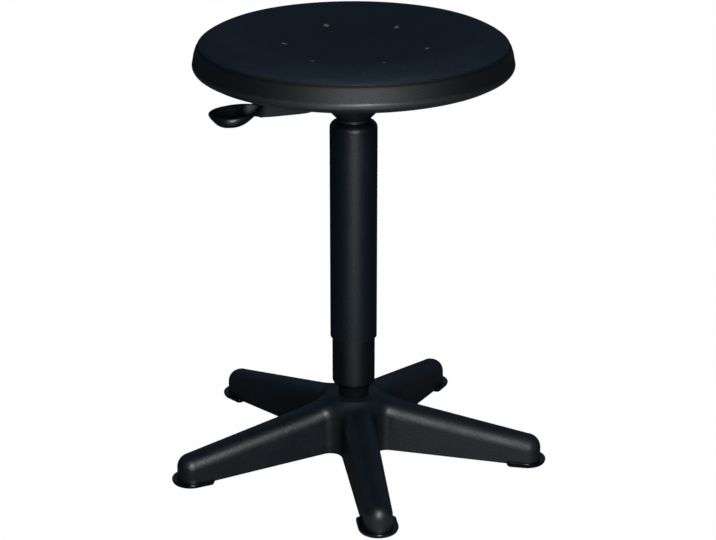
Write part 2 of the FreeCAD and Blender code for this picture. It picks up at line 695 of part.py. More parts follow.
def plate_bolt_places():
    half = PLATE_BOLT_SPACING / 2
    azimuth = math.radians(LEVER_AZIMUTH_DEG)
    for x, y in ((half, half), (-half, half), (-half, -half), (half, -half)):
        yield x * math.cos(azimuth) - y * math.sin(azimuth), x * math.sin(azimuth) + y * math.cos(azimuth)


def seat_plate():
    half = PLATE_SIDE / 2
    plate = box(-half, half, -half, half, PLATE_Z, BOARD_Z)
    corners = [edge for edge in plate.Edges if edge.BoundBox.ZLength > PLATE_THICKNESS / 2]
    plate = turned(plate.makeFillet(PLATE_CORNER_R, corners), LEVER_AZIMUTH_DEG)
    for x, y in plate_bolt_places():
        plate = plate.cut(cylinder(BOLT_R + CLEARANCE, PLATE_Z - 1, BOARD_Z + 1, x, y))
    return plate


# Height lever, drawn along +X and then turned to its azimuth

def lever_bracket():
    """Channel under the plate with two ears for the pivot pin."""
    inner = LEVER_ROD_R + BRACKET_SIDE_GAP
    outer = inner + BRACKET_THICKNESS
    low = PIVOT_Z - PIVOT_PIN_R - BRACKET_THICKNESS
    x0 = PIVOT_R - BRACKET_LENGTH / 2
    x1 = PIVOT_R + BRACKET_LENGTH / 2
    channel = box(x0, x1, -outer, outer, low, PLATE_Z)
    channel = channel.cut(box(x0 - 1, x1 + 1, -inner, inner, low - 1, PLATE_Z - BRACKET_THICKNESS))
    hole = Part.makeCylinder(PIVOT_PIN_R + FIXED, 2 * outer + 2, V(PIVOT_R, -outer - 1, PIVOT_Z), V(0, 1, 0))
    return turned(channel.cut(hole), LEVER_AZIMUTH_DEG)


def pivot_pin():
    half = LEVER_ROD_R + BRACKET_SIDE_GAP + BRACKET_THICKNESS + 1
    pin = Part.makeCylinder(PIVOT_PIN_R, 2 * half, V(PIVOT_R, -half, PIVOT_Z), V(0, 1, 0))
    return turned(pin, LEVER_AZIMUTH_DEG)


def lever_bar(radius, start_r, length):
    """Round bar on the lever's tilted axis."""
    tilt = math.radians(LEVER_TILT_DEG)
    direction = V(math.cos(tilt), 0, -math.sin(tilt))
    return Part.makeCylinder(radius, length, V(start_r, 0, lever_axis_z(start_r)), direction)


def lever_rod():
    bar = lever_bar(LEVER_ROD_R, -LEVER_ROD_OVERHANG, LEVER_ROD_LENGTH)
    hole_r = PIVOT_PIN_R + RUNNING
    hole = Part.makeCylinder(hole_r, 4 * LEVER_ROD_R, V(PIVOT_R, -2 * LEVER_ROD_R, PIVOT_Z), V(0, 1, 0))
    return turned(bar.cut(hole), LEVER_AZIMUTH_DEG)


def arm_section(x, width, rise, drop):
    """Rounded upright rectangle about the lever axis at x."""
    centre_z = lever_axis_z(x) + (rise - drop) / 2
    half_y = width / 2
    half_z = (rise + drop) / 2
    corner = min(ARM_CORNER_R, half_y * ROUNDING_LIMIT, half_z * ROUNDING_LIMIT)
    turn = corner * (1 - math.sqrt(0.5))
    edges = []
    for k in range(4):
        a, b = (half_y, half_z) if k % 2 == 0 else (half_z, half_y)
        points = [(a, corner - b), (a, b - corner), (a - turn, b - turn), (a - corner, b)]
        spots = []
        for y, z in points:
            for _ in range(k):
                y, z = -z, y
            spots.append(V(x, y, centre_z + z))
        edges.append(Part.LineSegment(spots[0], spots[1]).toShape())
        edges.append(Part.Arc(spots[1], spots[2], spots[3]).toShape())
    return Part.Wire(edges)


def lever_handle():
    """Moulded arm on the rod, ending in a dished paddle for the fingers."""
    rim_z = lever_axis_z(PADDLE_R) + PADDLE_RIM_RISE
    foot_z = rim_z - PADDLE_DEPTH
    end_x = PADDLE_R - PADDLE_RIM_R + ARM_OVERLAP
    end_rise = rim_z - lever_axis_z(end_x)
    arm = Part.makeLoft([
        arm_section(ARM_START_R, ARM_START_WIDTH, ARM_START_RISE, ARM_START_DROP),
        arm_section(ARM_MID_R, (ARM_START_WIDTH + ARM_END_WIDTH) / 2, ARM_MID_RISE, ARM_MID_DROP),
        arm_section(end_x, ARM_END_WIDTH, end_rise, PADDLE_DEPTH - end_rise),
    ], True, True)
    bowl = revolved([(0, foot_z), (PADDLE_FOOT_R, foot_z),
                     (PADDLE_RIM_R, rim_z - PADDLE_WALL), (PADDLE_RIM_R, rim_z), (0, rim_z)])
    hollow = revolved([(0, foot_z + PADDLE_WALL), (PADDLE_FOOT_R - PADDLE_WALL / 2, foot_z + PADDLE_WALL),
                       (PADDLE_RIM_R - PADDLE_WALL, rim_z - PADDLE_WALL / 2),
                       (PADDLE_RIM_R - PADDLE_WALL, rim_z + 1), (0, rim_z + 1)])
    handle = arm.fuse(moved(bowl, x=PADDLE_R)).cut(moved(hollow, x=PADDLE_R))
    handle = handle.cut(lever_bar(LEVER_ROD_R + FIXED, -LEVER_ROD_OVERHANG, LEVER_ROD_LENGTH + CLEARANCE))
    return turned(handle.removeSplitter(), LEVER_AZIMUTH_DEG)


# Seat: a board moulded into a dished foam seat, and the hardware that bolts it on

def bolt_group(make_one):
    return Part.makeCompound([make_one(x, y) for x, y in plate_bolt_places()])


def seat_bolt(x, y):
    head_top = PLATE_Z - BOLT_WASHER_THICKNESS
    head = cylinder(BOLT_HEAD_R, head_top - BOLT_HEAD_HEIGHT, head_top, x, y)
    return head.fuse(cylinder(BOLT_R, head_top, BOARD_Z + BOLT_TIP, x, y)).removeSplitter()


def bolt_washer(x, y):
    return ring(BOLT_R + CLEARANCE, BOLT_WASHER_R, PLATE_Z - BOLT_WASHER_THICKNESS, PLATE_Z, x, y)


def tee_nut(x, y):
    top = BOARD_Z + BOARD_THICKNESS
    inner_r = BOLT_R + FIXED
    barrel = ring(inner_r, BOLT_R + NUT_WALL, top - NUT_LENGTH, top, x, y)
    return barrel.fuse(ring(inner_r, NUT_FLANGE_R, top, top + NUT_FLANGE_THICKNESS, x, y)).removeSplitter()


def seat_board():
    board = cylinder(BOARD_R, BOARD_Z, BOARD_Z + BOARD_THICKNESS)
    for x, y in plate_bolt_places():
        hole = cylinder(BOLT_R + NUT_WALL + FIXED, BOARD_Z - 1, BOARD_Z + BOARD_THICKNESS + 1, x, y)
        board = board.cut(hole)
    return board


def seat_foam():
    top_z = SEAT_Z + SEAT_HEIGHT
    dish_z = top_z - SEAT_DISH_DEPTH
    crest_r = SEAT_R - SEAT_CREST_INSET
    lip_r = SEAT_R - SEAT_LIP_WIDTH
    lip_z = SEAT_Z + SEAT_LIP_RISE
    skirt = (SEAT_R - SEAT_SKIRT_LEAN, SEAT_Z + SEAT_SKIRT_TOP)
    board_top = BOARD_Z + BOARD_THICKNESS
    recess_r = BOARD_R + CLEARANCE
    edges = [
        line((0, board_top), (recess_r, board_top)),
        line((recess_r, board_top), (recess_r, SEAT_Z)),
        line((recess_r, SEAT_Z), (lip_r, SEAT_Z)),
        bezier([(lip_r, SEAT_Z), (lip_r + ROUND_PULL * SEAT_LIP_WIDTH, SEAT_Z),
                (SEAT_R, lip_z - ROUND_PULL * SEAT_LIP_RISE), (SEAT_R, lip_z)]),
        line((SEAT_R, lip_z), skirt),
        bezier([skirt, (skirt[0] - SEAT_EDGE_LEAN, skirt[1] + SEAT_EDGE_PULL),
                (crest_r + SEAT_CREST_PULL, top_z), (crest_r, top_z)]),
        bezier([(crest_r, top_z), (crest_r - DISH_RIM_PULL, top_z),
                (DISH_CENTRE_PULL, dish_z), (0, dish_z)]),
        line((0, dish_z), (0, board_top)),
    ]
    foam = revolved_outline(edges)
    pocket_r = NUT_FLANGE_R + CLEARANCE
    pocket_top = board_top + NUT_FLANGE_THICKNESS + CLEARANCE
    for x, y in plate_bolt_places():
        foam = foam.cut(cylinder(pocket_r, board_top - 1, pocket_top, x, y))
    for k in range(VENT_COUNT):
        angle = math.radians(FIRST_VENT_DEG + k * 360 / VENT_COUNT)
        x = VENT_CIRCLE_R * math.cos(angle)
        y = VENT_CIRCLE_R * math.sin(angle)
        foam = foam.cut(cylinder(VENT_R, dish_z - VENT_DEPTH, top_z + 1, x, y))
    return foam


def pieces():
    """Every node's name and solid."""
    angles = leg_angles()
    made = {
        "star_base": star_base(),
        "hub_ring": hub_ring(),
        "glide_stems": Part.makeCompound([glide_stem(angle) for angle in angles]),
        "glide_grip_rings": Part.makeCompound([grip_ring(angle) for angle in angles]),
        "standpipe": standpipe(),
        "guide_bush": guide_bush(),
        "lower_bearing_washer": bearing_washer(BEARING_Z),
        "bearing_cage": bearing_cage(),
        "bearing_balls": bearing_balls(),
        "upper_bearing_washer": bearing_washer(UPPER_WASHER_Z),
        "piston_rod": piston_rod(),
        "piston": piston(),
        "piston_seal": piston_seal(),
        "rubber_bumper": rubber_bumper(),
        "clip_washer": clip_washer(),
        "retaining_clip": retaining_clip(),
        "gas_cylinder": gas_cylinder(),
        "rod_guide": rod_guide(),
        "wiper_seal": wiper_seal(),
        "valve_body": valve_body(),
        "valve_pin": valve_pin(),
        "protective_sleeve": protective_sleeve(),
        "sleeve_holder": sleeve_holder(),
        "taper_socket": taper_socket(),
        "seat_funnel": seat_funnel(),
        "seat_plate": seat_plate(),
        "lever_bracket": lever_bracket(),
        "lever_pivot_pin": pivot_pin(),
        "lever_rod": lever_rod(),
        "lever_handle": lever_handle(),
        "seat_bolts": bolt_group(seat_bolt),
        "bolt_washers": bolt_group(bolt_washer),
        "tee_nuts": bolt_group(tee_nut),
        "seat_board": seat_board(),
        "seat_foam": seat_foam(),
    }
    for k, angle in enumerate(angles):
        made[f"glide_{k + 1}"] = glide(angle)
    return made


os.makedirs("parts", exist_ok=True)
for node, shape in pieces().items():
    shape.exportStep(f"parts/{node}.step")
    print(f"{node}: {len(shape.Solids)} solid(s), {shape.Volume / 1000:.1f} cm3, valid {shape.isValid()}")
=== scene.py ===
import bmesh
import bpy
import json
import math
from mathutils import Matrix, Vector


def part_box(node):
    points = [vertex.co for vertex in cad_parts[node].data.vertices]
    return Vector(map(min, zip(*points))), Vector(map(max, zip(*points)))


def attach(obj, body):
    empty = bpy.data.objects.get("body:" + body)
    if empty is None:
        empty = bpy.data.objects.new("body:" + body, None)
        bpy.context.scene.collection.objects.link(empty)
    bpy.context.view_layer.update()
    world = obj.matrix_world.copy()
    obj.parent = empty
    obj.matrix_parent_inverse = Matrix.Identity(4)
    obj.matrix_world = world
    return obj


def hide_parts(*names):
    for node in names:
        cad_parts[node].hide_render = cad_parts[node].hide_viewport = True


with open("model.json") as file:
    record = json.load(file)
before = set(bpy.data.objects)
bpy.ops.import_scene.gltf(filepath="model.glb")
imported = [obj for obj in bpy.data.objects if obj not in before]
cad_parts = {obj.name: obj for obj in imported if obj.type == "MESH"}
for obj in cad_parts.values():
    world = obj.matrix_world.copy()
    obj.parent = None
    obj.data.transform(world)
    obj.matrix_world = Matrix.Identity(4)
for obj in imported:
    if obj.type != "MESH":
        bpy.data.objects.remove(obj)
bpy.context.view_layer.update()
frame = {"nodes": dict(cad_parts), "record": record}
nodes = frame["nodes"]
print("frame in place:", len(nodes), "nodes")


# Shader helpers
class Wire:
    # an output socket that takes plain arithmetic: 1 - mask * 0.5 adds its Math nodes
    def __init__(self, paint, socket):
        self.paint = paint
        self.socket = socket

    def maths(self, operation, first, second):
        return self.paint.maths(operation, first, second)

    def __add__(self, other):
        return self.maths("ADD", self, other)

    def __radd__(self, other):
        return self.maths("ADD", other, self)

    def __sub__(self, other):
        return self.maths("SUBTRACT", self, other)

    def __rsub__(self, other):
        return self.maths("SUBTRACT", other, self)

    def __mul__(self, other):
        return self.maths("MULTIPLY", self, other)

    def __rmul__(self, other):
        return self.maths("MULTIPLY", other, self)

    def __pow__(self, other):
        return self.maths("POWER", self, other)


def colour(red, green, blue):
    return (red, green, blue, 1)


class Paint:
    # the nodes of one material, or of the world
    def __init__(self, name, tree=None):
        if tree is None:
            self.material = bpy.data.materials.new(name)
            self.material.use_nodes = True
            tree = self.material.node_tree
        self.tree = tree
        self.tree.nodes.clear()

    def node(self, kind, settings, inputs, output=0):
        made = self.tree.nodes.new(kind)
        for name, value in settings.items():
            setattr(made, name, value)
        for name, value in inputs.items():
            if isinstance(value, Wire):
                self.tree.links.new(value.socket, made.inputs[name])
            else:
                made.inputs[name].default_value = value
        return Wire(self, made.outputs[output]) if made.outputs else None

    def maths(self, operation, *values):
        return self.node("ShaderNodeMath", {"operation": operation}, dict(enumerate(values)))

    def place(self):
        return self.node("ShaderNodeTexCoord", {}, {}, "Object")

    def axes(self, vector=None):
        where = vector or self.place()
        return [self.node("ShaderNodeSeparateXYZ", {}, {0: where}, letter) for letter in "XYZ"]

    def distance(self, spot):
        # metres from this spot
        return self.node("ShaderNodeVectorMath", {"operation": "DISTANCE"},
                         {0: self.place(), 1: spot}, "Value")

    def noise(self, size, detail, rough):
        # blobs about this many metres across
        return self.node("ShaderNodeTexNoise", {"noise_dimensions": "3D"},
                         {"Vector": self.place(), "Scale": 1 / size, "Detail": detail, "Roughness": rough})

    def pits(self, size):
        return self.noise(size, 2.0, 0.6)

    def blotches(self, size=0.03):
        return self.noise(size, 4.0, 0.6)

    def cells(self, size):
        # distance to the edge of cells about this many metres across
        return self.node("ShaderNodeTexVoronoi", {"feature": "DISTANCE_TO_EDGE"},
                         {"Vector": self.place(), "Scale": 1 / size}, "Distance")

    def step(self, value, low, high):
        # 0 below low, 1 above high, smooth between
        return self.node("ShaderNodeMapRange", {"interpolation_type": "SMOOTHSTEP"},
                         {"Value": value, "From Min": low, "From Max": high})

    def blend(self, factor, first, second):
        return self.node("ShaderNodeMix", {"data_type": "RGBA"}, {0: factor, 6: first, 7: second}, 2)

    def blotched(self, broad, tone):
        # the tone a fifth darker to a quarter lighter
        dark, light = [c * 0.8 for c in tone], [c * 1.25 for c in tone]
        return self.blend(broad, colour(*dark), colour(*light))

    def stained(self, broad, tone):
        # the tone up to two fifths darker
        return self.blend(broad * 0.4, tone, colour(0, 0, 0))

    def bump(self, height, depth):
        # height of 0 to 1 stands for this many metres
        return self.node("ShaderNodeBump", {}, {"Height": height, "Distance": depth})

    def facing(self, power):
        # 0 where a surface faces the viewer, 1 at its outline
        return self.node("ShaderNodeLayerWeight", {}, {"Blend": 0.5}, "Facing") ** power

    def whiteShare(self, mirrorShare):
        # 1 for the camera's own rays and those through glass, less for mirrored ones
        camera, glossy, through = [self.node("ShaderNodeLightPath", {}, {}, "Is %s Ray" % kind)
                                   for kind in ("Camera", "Glossy", "Transmission")]
        return camera, camera + through + glossy * mirrorShare

    def finish(self, sockets, shade=None):
        # shade is the share of a shader that goes black
        shader = self.node("ShaderNodeBsdfPrincipled", {}, sockets)
        if shade is not None:
            black = self.node("ShaderNodeBsdfDiffuse", {}, {"Color": colour(0, 0, 0)})
            shader = self.node("ShaderNodeMixShader", {}, {0: shade, 1: shader, 2: black})
        self.node("ShaderNodeOutputMaterial", {}, {"Surface": shader})
        return self.material


# Finishes
mould = {
    "blotchRough": 0.10,    # how far the mottling and the pits change the roughness
    "pitRough": 0.12,
}


def mouldedPlastic(name, tone, sheen, pit, pitDepth, specular=0.5, outline=0.0):
    # plastic from a spark-eroded tool: fine pits, faint mottling, and painted shade towards its outline
    paint = Paint(name)
    fine, broad = paint.pits(pit), paint.blotches()
    rough = sheen + (broad - 0.5) * mould["blotchRough"] + (fine - 0.5) * mould["pitRough"]
    # painted shade: the shader is mixed towards black at the outline
    return paint.finish({"Base Color": paint.blotched(broad, tone), "Roughness": rough,
                         "Specular IOR Level": specular, "Normal": paint.bump(fine, pitDepth)},
                        paint.facing(2) * outline if outline else None)


base = {
    "tone": (0.0020, 0.0048, 0.0075),
    "rough": 0.44,
    "blotchRough": 0.24,
    "pit": 0.0026,
    "pitDepth": 0.00018,
    "pitRough": 0.16,
    "specular": 0.56,
    # painted shade towards the outline
    "outline": 0.6,
    "dullSide": (0.03, 0.07),       # the legs past this x are duller
    "duller": 0.12,
    "neckRing": (0.008, 0.047),     # radii between which the hub's top falls away round the neck
    "neckFall": 0.015,
}


def baseMoulding(name):
    # the same plastic with stronger mottling, a bump that rounds the hub's top, and painted shade towards
    # its outline
    paint = Paint(name)
    x, y, z = paint.axes()
    fine, broad = paint.pits(base["pit"]), paint.blotches()
    dull = paint.step(x, *base["dullSide"])
    rough = (base["rough"] + dull * base["duller"] + (broad - 0.5) * base["blotchRough"]
             + (fine - 0.5) * base["pitRough"])
    fall = 1 - paint.step((x * x + y * y) ** 0.5, *base["neckRing"])
    height = fine * base["pitDepth"] + fall * base["neckFall"]
    return paint.finish({"Base Color": paint.blotched(broad, base["tone"]), "Roughness": rough,
                         "Specular IOR Level": base["specular"], "Normal": paint.bump(height, 1.0)},
                        paint.facing(4) * base["outline"])


metal = {
    "brushShade": 0.85,     # the darker streaks, as a share of the tone
    "brushDepth": 0.00004,
    "brushRough": 0.15,
}


def plainMetal(name, tone, rough, brush):
    paint = Paint(name)
    streaks = paint.noise(brush, 4.0, 0.7)
    tint = paint.blend(streaks, colour(*[c * metal["brushShade"] for c in tone]), colour(*tone))
    return paint.finish({"Base Color": tint, "Metallic": 1.0,
                         "Roughness": rough + (streaks - 0.5) * metal["brushRough"],
                         "Normal": paint.bump(streaks, metal["brushDepth"])})


coat = {
    "tone": (0.0010, 0.0026, 0.0046),
    "underSeatPaintedLight": (0.020, 0.030, 0.038),      # painted light: lighter on the carrier under the seat, which the seat shades
    "rough": 0.44,
    "blotchRough": 0.10,
    "peel": 0.0018,
    "peelDepth": 0.00005,
    "peelRough": 0.12,
    "specular": 0.2,
    "lacquer": 0.7,
    "lacquerRough": 0.36,
    "lacquerIOR": 1.45,
    # painted shade towards the outline: how fast it grows
    "outlinePower": 1.5,
    "taperTop": (0.0845, 0.0880),           # heights over which the rough taper at the hub, and its painted shade, end
    "taperRough": 0.32,
    # painted shade on the taper
    "taperPaintedShade": 0.4,
    "seatFrom": (0.400, 0.420),             # and over which the carrier's smoother finish and its painted light start
    "seatSmooth": 0.20,
}


def powderCoat(name):
    # baked coat with a faint orange peel; painted light under the seat, painted shade on the taper and
    # towards the outline
    paint = Paint(name)
    x, y, z = paint.axes()
    peel, broad = paint.pits(coat["peel"]), paint.blotches()
    taper = 1 - paint.step(z, *coat["taperTop"])
    underSeat = paint.step(z, *coat["seatFrom"])
    # painted light: the tone is lighter under the seat
    lit = paint.blend(underSeat, colour(*coat["tone"]), colour(*coat["underSeatPaintedLight"]))
    rough = (coat["rough"] + taper * coat["taperRough"] - underSeat * coat["seatSmooth"]
             + (broad - 0.5) * coat["blotchRough"] + (peel - 0.5) * coat["peelRough"])
    # painted shade: the shader is mixed towards black on the taper and towards the outline
    return paint.finish({"Base Color": paint.stained(broad, lit), "Roughness": rough,
                         "Specular IOR Level": coat["specular"],
                         "Coat Weight": coat["lacquer"] - taper * coat["lacquer"],
                         "Coat Roughness": coat["lacquerRough"], "Coat IOR": coat["lacquerIOR"],
                         "Normal": paint.bump(peel, coat["peelDepth"])},
                        paint.maths("MAXIMUM", taper * coat["taperPaintedShade"],
                                    paint.facing(coat["outlinePower"])))


# tone, roughness, size of the pits or brush marks, then for plastics their depth, specular and painted shade
# at the outline
finishes = {
    "base_plastic": baseMoulding("basePlastic"),
    "glide_plastic": mouldedPlastic("glidePlastic", (0.0012, 0.0030, 0.0048), 0.20, 0.0015, 0.00003),
    "sleeve_plastic": mouldedPlastic("sleevePlastic", (0.0010, 0.0036, 0.0070), 0.43, 0.0020, 0.00018,
                                     0.38, 0.6),
    "powder_coat": powderCoat("powderCoat"),
    "bearing_nylon": mouldedPlastic("bearingNylon", (0.55, 0.54, 0.50), 0.45, 0.0010, 0.00003),
    "seal_rubber": mouldedPlastic("sealRubber", (0.02, 0.02, 0.02), 0.7, 0.0008, 0.00003),
    "bare_steel": plainMetal("bareSteel", (0.55, 0.55, 0.56), 0.38, 0.004),
    "hard_steel": plainMetal("hardSteel", (0.50, 0.50, 0.52), 0.25, 0.002),
    "rod_chrome": plainMetal("rodChrome", (0.75, 0.75, 0.77), 0.12, 0.006),
    "board_wood": mouldedPlastic("boardWood", (0.10, 0.065, 0.035), 0.65, 0.0020, 0.00008),
}
print("finishes:", len(finishes))


# Mesh helpers
def newPiece(name, mesh, body, slotName):
    data = bpy.data.meshes.new(name)
    mesh.to_mesh(data)
    mesh.free()
    piece = bpy.data.objects.new(name, data)
    bpy.context.scene.collection.objects.link(piece)
    data.polygons.foreach_set("use_smooth", [True] * len(data.polygons))
    data.materials.append(finishes[slotName])
    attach(piece, body)
    return piece


def curvePoints(start, pull1, pull2, end, count):
    # points along a Bezier curve, without its start
    found = []
    for k in range(1, count + 1):
        t = k / count
        s = 1 - t
        found.append(tuple(a * s ** 3 + b * 3 * s * s * t + c * 3 * s * t * t + d * t ** 3
                           for a, b, c, d in zip(start, pull1, pull2, end)))
    return found


def turned(degrees, axis, size=3):
    return Matrix.Rotation(math.radians(degrees), size, axis)


def heading(degrees):
    return Vector((math.cos(math.radians(degrees)), math.sin(math.radians(degrees))))


def spun(points, steps, turnStart=0.0):
    # closed shape of revolution about the swivel axis from (radius, height) points
    mesh = bmesh.new()
    verts = [mesh.verts.new((r, 0, z)) for r, z in points]
    edges = [mesh.edges.new(pair) for pair in zip(verts, verts[1:])]
    bmesh.ops.rotate(mesh, verts=verts, cent=(0, 0, 0), matrix=turned(turnStart, "Z"))
    bmesh.ops.spin(mesh, geom=verts + edges, cent=(0, 0, 0), axis=(0, 0, 1), dvec=(0, 0, 0),
                   angle=2 * math.pi, steps=steps, use_merge=True)
    bmesh.ops.remove_doubles(mesh, verts=mesh.verts, dist=1e-6)
    bmesh.ops.recalc_face_normals(mesh, faces=mesh.faces)
    return mesh


# Seat
seat = {
    "low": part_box("seat_foam")[0].z,
    "top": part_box("seat_foam")[1].z,
    "radius": 0.180,
    "lipWidth": 0.0245,     # rounding under the rim
    "lipRise": 0.018,
    "lipRadius": 0.1530,    # where the flat underside ends
    "lipTurns": (0, 11, 22, 33, 44),
    "bead": 0.0137,         # height of the parting bead above the underside
    # the bead from below it to above it: in from the rim, up from the bead
    "beadLine": [(0.0049, -0.0074), (0.0031, -0.0061), (0.0018, -0.0047), (0.0010, -0.0034),
                 (0.0005, -0.0022), (0.0002, -0.0011), (0.0001, 0), (0.0002, 0.0012), (0.0004, 0.0024),
                 (0.0007, 0.0038), (0.0011, 0.0053)],
    "skirtTop": 0.0326,     # where the grained skirt ends
    # the skirt's end and the groove over it: in from the rim, up from the skirt's top
    "skirtLine": [(0.0018, -0.0090), (0.0036, -0.0030), (0.0042, -0.0014), (0.0050, -0.0004),
                  (0.0058, 0.0005), (0.0062, 0.0013), (0.0064, 0.0021), (0.0065, 0.0030)],
    "rollPull": (0.0092, -0.0080),      # in from the rim, up from the top
    "rollRadius": 0.1530,
    "rollPoints": 12,
    "crest": 0.1489,        # radius where the top is highest
    "dishDepth": 0.022,
    "dishPulls": (0.127, 0.105),
    "dishPoints": 36,
    "boardRadius": 0.1483,  # pocket of the seat board
    "boardRoom": 0.0145,
    "roofRing": 0.070,      # a ring on the pocket's roof
    "boardEdge": [(-0.002, 0), (0, -0.001)],                # out from the pocket's wall, up from its roof
    "mouthEdge": [(0, 0.006), (0, 0.0008), (0.0008, 0)],    # and up from the underside
    "dishAbove": 0.02,      # what faces up above this height is dish, below it the pocket's roof
    # turn in degrees and distance from the axis; the real ones aren't quite even
    "vents": [(57, 0.0905), (110.5, 0.0905), (172.5, 0.0803), (236.5, 0.0815), (292, 0.0889), (350, 0.0841)],
    "ventRadius": 0.0019,
    "ventDepth": 0.0020,
    "ventInset": 0.0003,
    "ventRings": [(1.25, -0.0002, 0.0002), (1.0, 0.0004, 0.0002)],  # scale of the radius, drop, next inset
    "ventFloor": 0.9,       # scale of the radius at the bottom
    "steps": 144,
    "seam": 56.25,          # where the steps start, so that the vents fall on faces
}


def seatMesh():
    low, top, outer = seat["low"], seat["top"], seat["radius"]
    dish, inner, lipInner = top - seat["dishDepth"], seat["boardRadius"], outer - seat["lipWidth"]
    roof, bead, skirtTop = low + seat["boardRoom"], low + seat["bead"], low + seat["skirtTop"]
    points = [(0, roof), (seat["roofRing"], roof)]
    points += [(inner + across, roof + up) for across, up in seat["boardEdge"]]
    points += [(inner + across, low + up) for across, up in seat["mouthEdge"]]
    points.append((seat["lipRadius"], low))
    for degrees in seat["lipTurns"]:
        angle = math.radians(degrees)
        points.append((lipInner + seat["lipWidth"] * math.sin(angle),
                       low + seat["lipRise"] * (1 - math.cos(angle))))
    points += [(outer - inward, bead + up) for inward, up in seat["beadLine"]]
    points += [(outer - inward, skirtTop + up) for inward, up in seat["skirtLine"]]
    inward, up = seat["rollPull"]
    crest = (seat["crest"], top)
    points += curvePoints(points[-1], (outer - inward, top + up), (seat["rollRadius"], top), crest,
                          seat["rollPoints"])
    rimPull, centrePull = seat["dishPulls"]
    points += curvePoints(crest, (rimPull, top), (centrePull, dish), (0, dish), seat["dishPoints"])
    mesh = spun(points, seat["steps"], seat["seam"])
    seat["ventSpots"] = [cutVent(mesh, *vent) for vent in seat["vents"]]
    return mesh


def facesUp(face):
    return face.normal.z > 0.9


def cutVent(mesh, turn, reach):
    # the nearest face of the dish is divided, and its middle sunk as a small round hole
    spot = heading(turn) * reach
    floor = seat["low"] + seat["dishAbove"]
    dish = [face for face in mesh.faces if facesUp(face) and face.calc_center_median().z > floor]
    face = min(dish, key=lambda f: (f.calc_center_median().xy - spot).length)
    middle = face.calc_center_median()
    bmesh.ops.subdivide_edges(mesh, edges=list(face.edges), cuts=2)
    face = min(filter(facesUp, mesh.faces), key=lambda f: (f.calc_center_median() - middle).length)
    bmesh.ops.inset_region(mesh, faces=[face], thickness=seat["ventInset"], use_even_offset=True)
    for scale, drop, inset in seat["ventRings"] + [(seat["ventFloor"], seat["ventDepth"], 0)]:
        for vert in face.verts:
            arm = (vert.co - middle).xy.normalized() * seat["ventRadius"] * scale
            vert.co = (middle.x + arm.x, middle.y + arm.y, middle.z - drop)
        if inset:
            bmesh.ops.inset_region(mesh, faces=[face], thickness=inset)
    return middle.x, middle.y


skin = {
    "rimRadius": (0.162, 0.166),    # the dish is inside, the skirt and the roll outside
    # painted light: the top lighter and bluer than the skirt, which is darker as painted shade
    "topPaintedLightTone": [(0.0020, 0.0088, 0.0170), (0.0032, 0.0112, 0.0205)],
    "skirtPaintedShadeTone": (0.0012, 0.0026, 0.0036),
    "rough": 0.50,
    "topRough": 0.16,
    "skirtRough": 0.08,
    "specular": 0.37,
    "dishFrom": (0.018, 0.022),         # heights above the underside
    "skirtFrom": (0.0016, 0.0040),      # above the bead
    "lipTo": (-0.0005, 0.0028),
    "skirtTo": (-0.0010, 0),            # above the skirt's top
    "topFrom": (0, 0.004),
    "creaseFrom": (-0.0026, 0.0014),    # the crease over the skirt lies in its own shadow
    "creaseTo": (0.0024, 0.0054),
    "creaseShade": 0.32,
    "blotch": 0.05,
    "pebble": 0.0016,
    "pebbleSmooth": 0.06,
    "knurl": 0.0034,                # pitch of the diamond grain on the skirt
    "grainDepth": 0.00022,
    "lipGloss": 0.9,                # the lip under the bead is glossy
    "lipRough": 0.36,
    "lipIOR": 1.85,
    "ventTone": (0.14, 0.15, 0.16),
    "ventRim": (0.0016, 0.0046),
}


def foamSkin(name):
    # smooth pebbled top and lip, diamond grain on the skirt, pale rims round the vents; painted light makes
    # the top lighter and bluer than the skirt
    paint = Paint(name)
    x, y, z = paint.axes()

    def above(line, heights):
        start = seat["low"] + line
        return paint.step(z, start + heights[0], start + heights[1])

    turn = paint.maths("ARCTAN2", y, x)
    radius = (x * x + y * y) ** 0.5
    broad = paint.noise(skin["blotch"], 3.0, 0.5)
    pebble = paint.step(paint.cells(skin["pebble"]), 0.0, 0.25)
    outside = paint.step(radius, *skin["rimRadius"])
    bead, skirtTop = seat["bead"], seat["skirtTop"]
    onSkirt = above(bead, skin["skirtFrom"]) * (1 - above(skirtTop, skin["skirtTo"])) * outside
    inDish = above(0, skin["dishFrom"]) * (1 - outside)
    onTop = paint.maths("MAXIMUM", inDish, above(skirtTop, skin["topFrom"]))
    crease = above(skirtTop, skin["creaseFrom"]) * (1 - above(skirtTop, skin["creaseTo"])) * outside
    onLip = 1 - above(bead, skin["lipTo"])
    count = round(2 * math.pi * seat["radius"] / skin["knurl"])
    knurl = paint.maths("COSINE", turn * count) * paint.maths("COSINE", z * (2 * math.pi / skin["knurl"]))
    nearest = 1.0
    for spotX, spotY in seat["ventSpots"]:
        nearest = paint.maths("MINIMUM", (x - spotX) ** 2 + (y - spotY) ** 2, nearest)
    vent = 1 - paint.step(nearest ** 0.5, *skin["ventRim"])
    # painted light: the top's tone is lighter than the skirt's
    top = paint.blend(broad, colour(*skin["topPaintedLightTone"][0]), colour(*skin["topPaintedLightTone"][1]))
    tone = paint.blend(onTop, colour(*skin["skirtPaintedShadeTone"]), top)
    tone = paint.blend(vent * onTop, tone, colour(*skin["ventTone"]))
    rough = (skin["rough"] + onSkirt * skin["skirtRough"] + onTop * skin["topRough"]
             - pebble * skin["pebbleSmooth"])
    height = pebble * (1 - onSkirt) + (knurl * 0.5 + 0.5) * onSkirt
    return paint.finish({"Base Color": tone, "Roughness": rough, "Specular IOR Level": skin["specular"],
                         "Coat Weight": onLip * skin["lipGloss"], "Coat Roughness": skin["lipRough"],
                         "Coat IOR": skin["lipIOR"],
                         "Normal": paint.bump(height, skin["grainDepth"])},
                        crease * skin["creaseShade"])


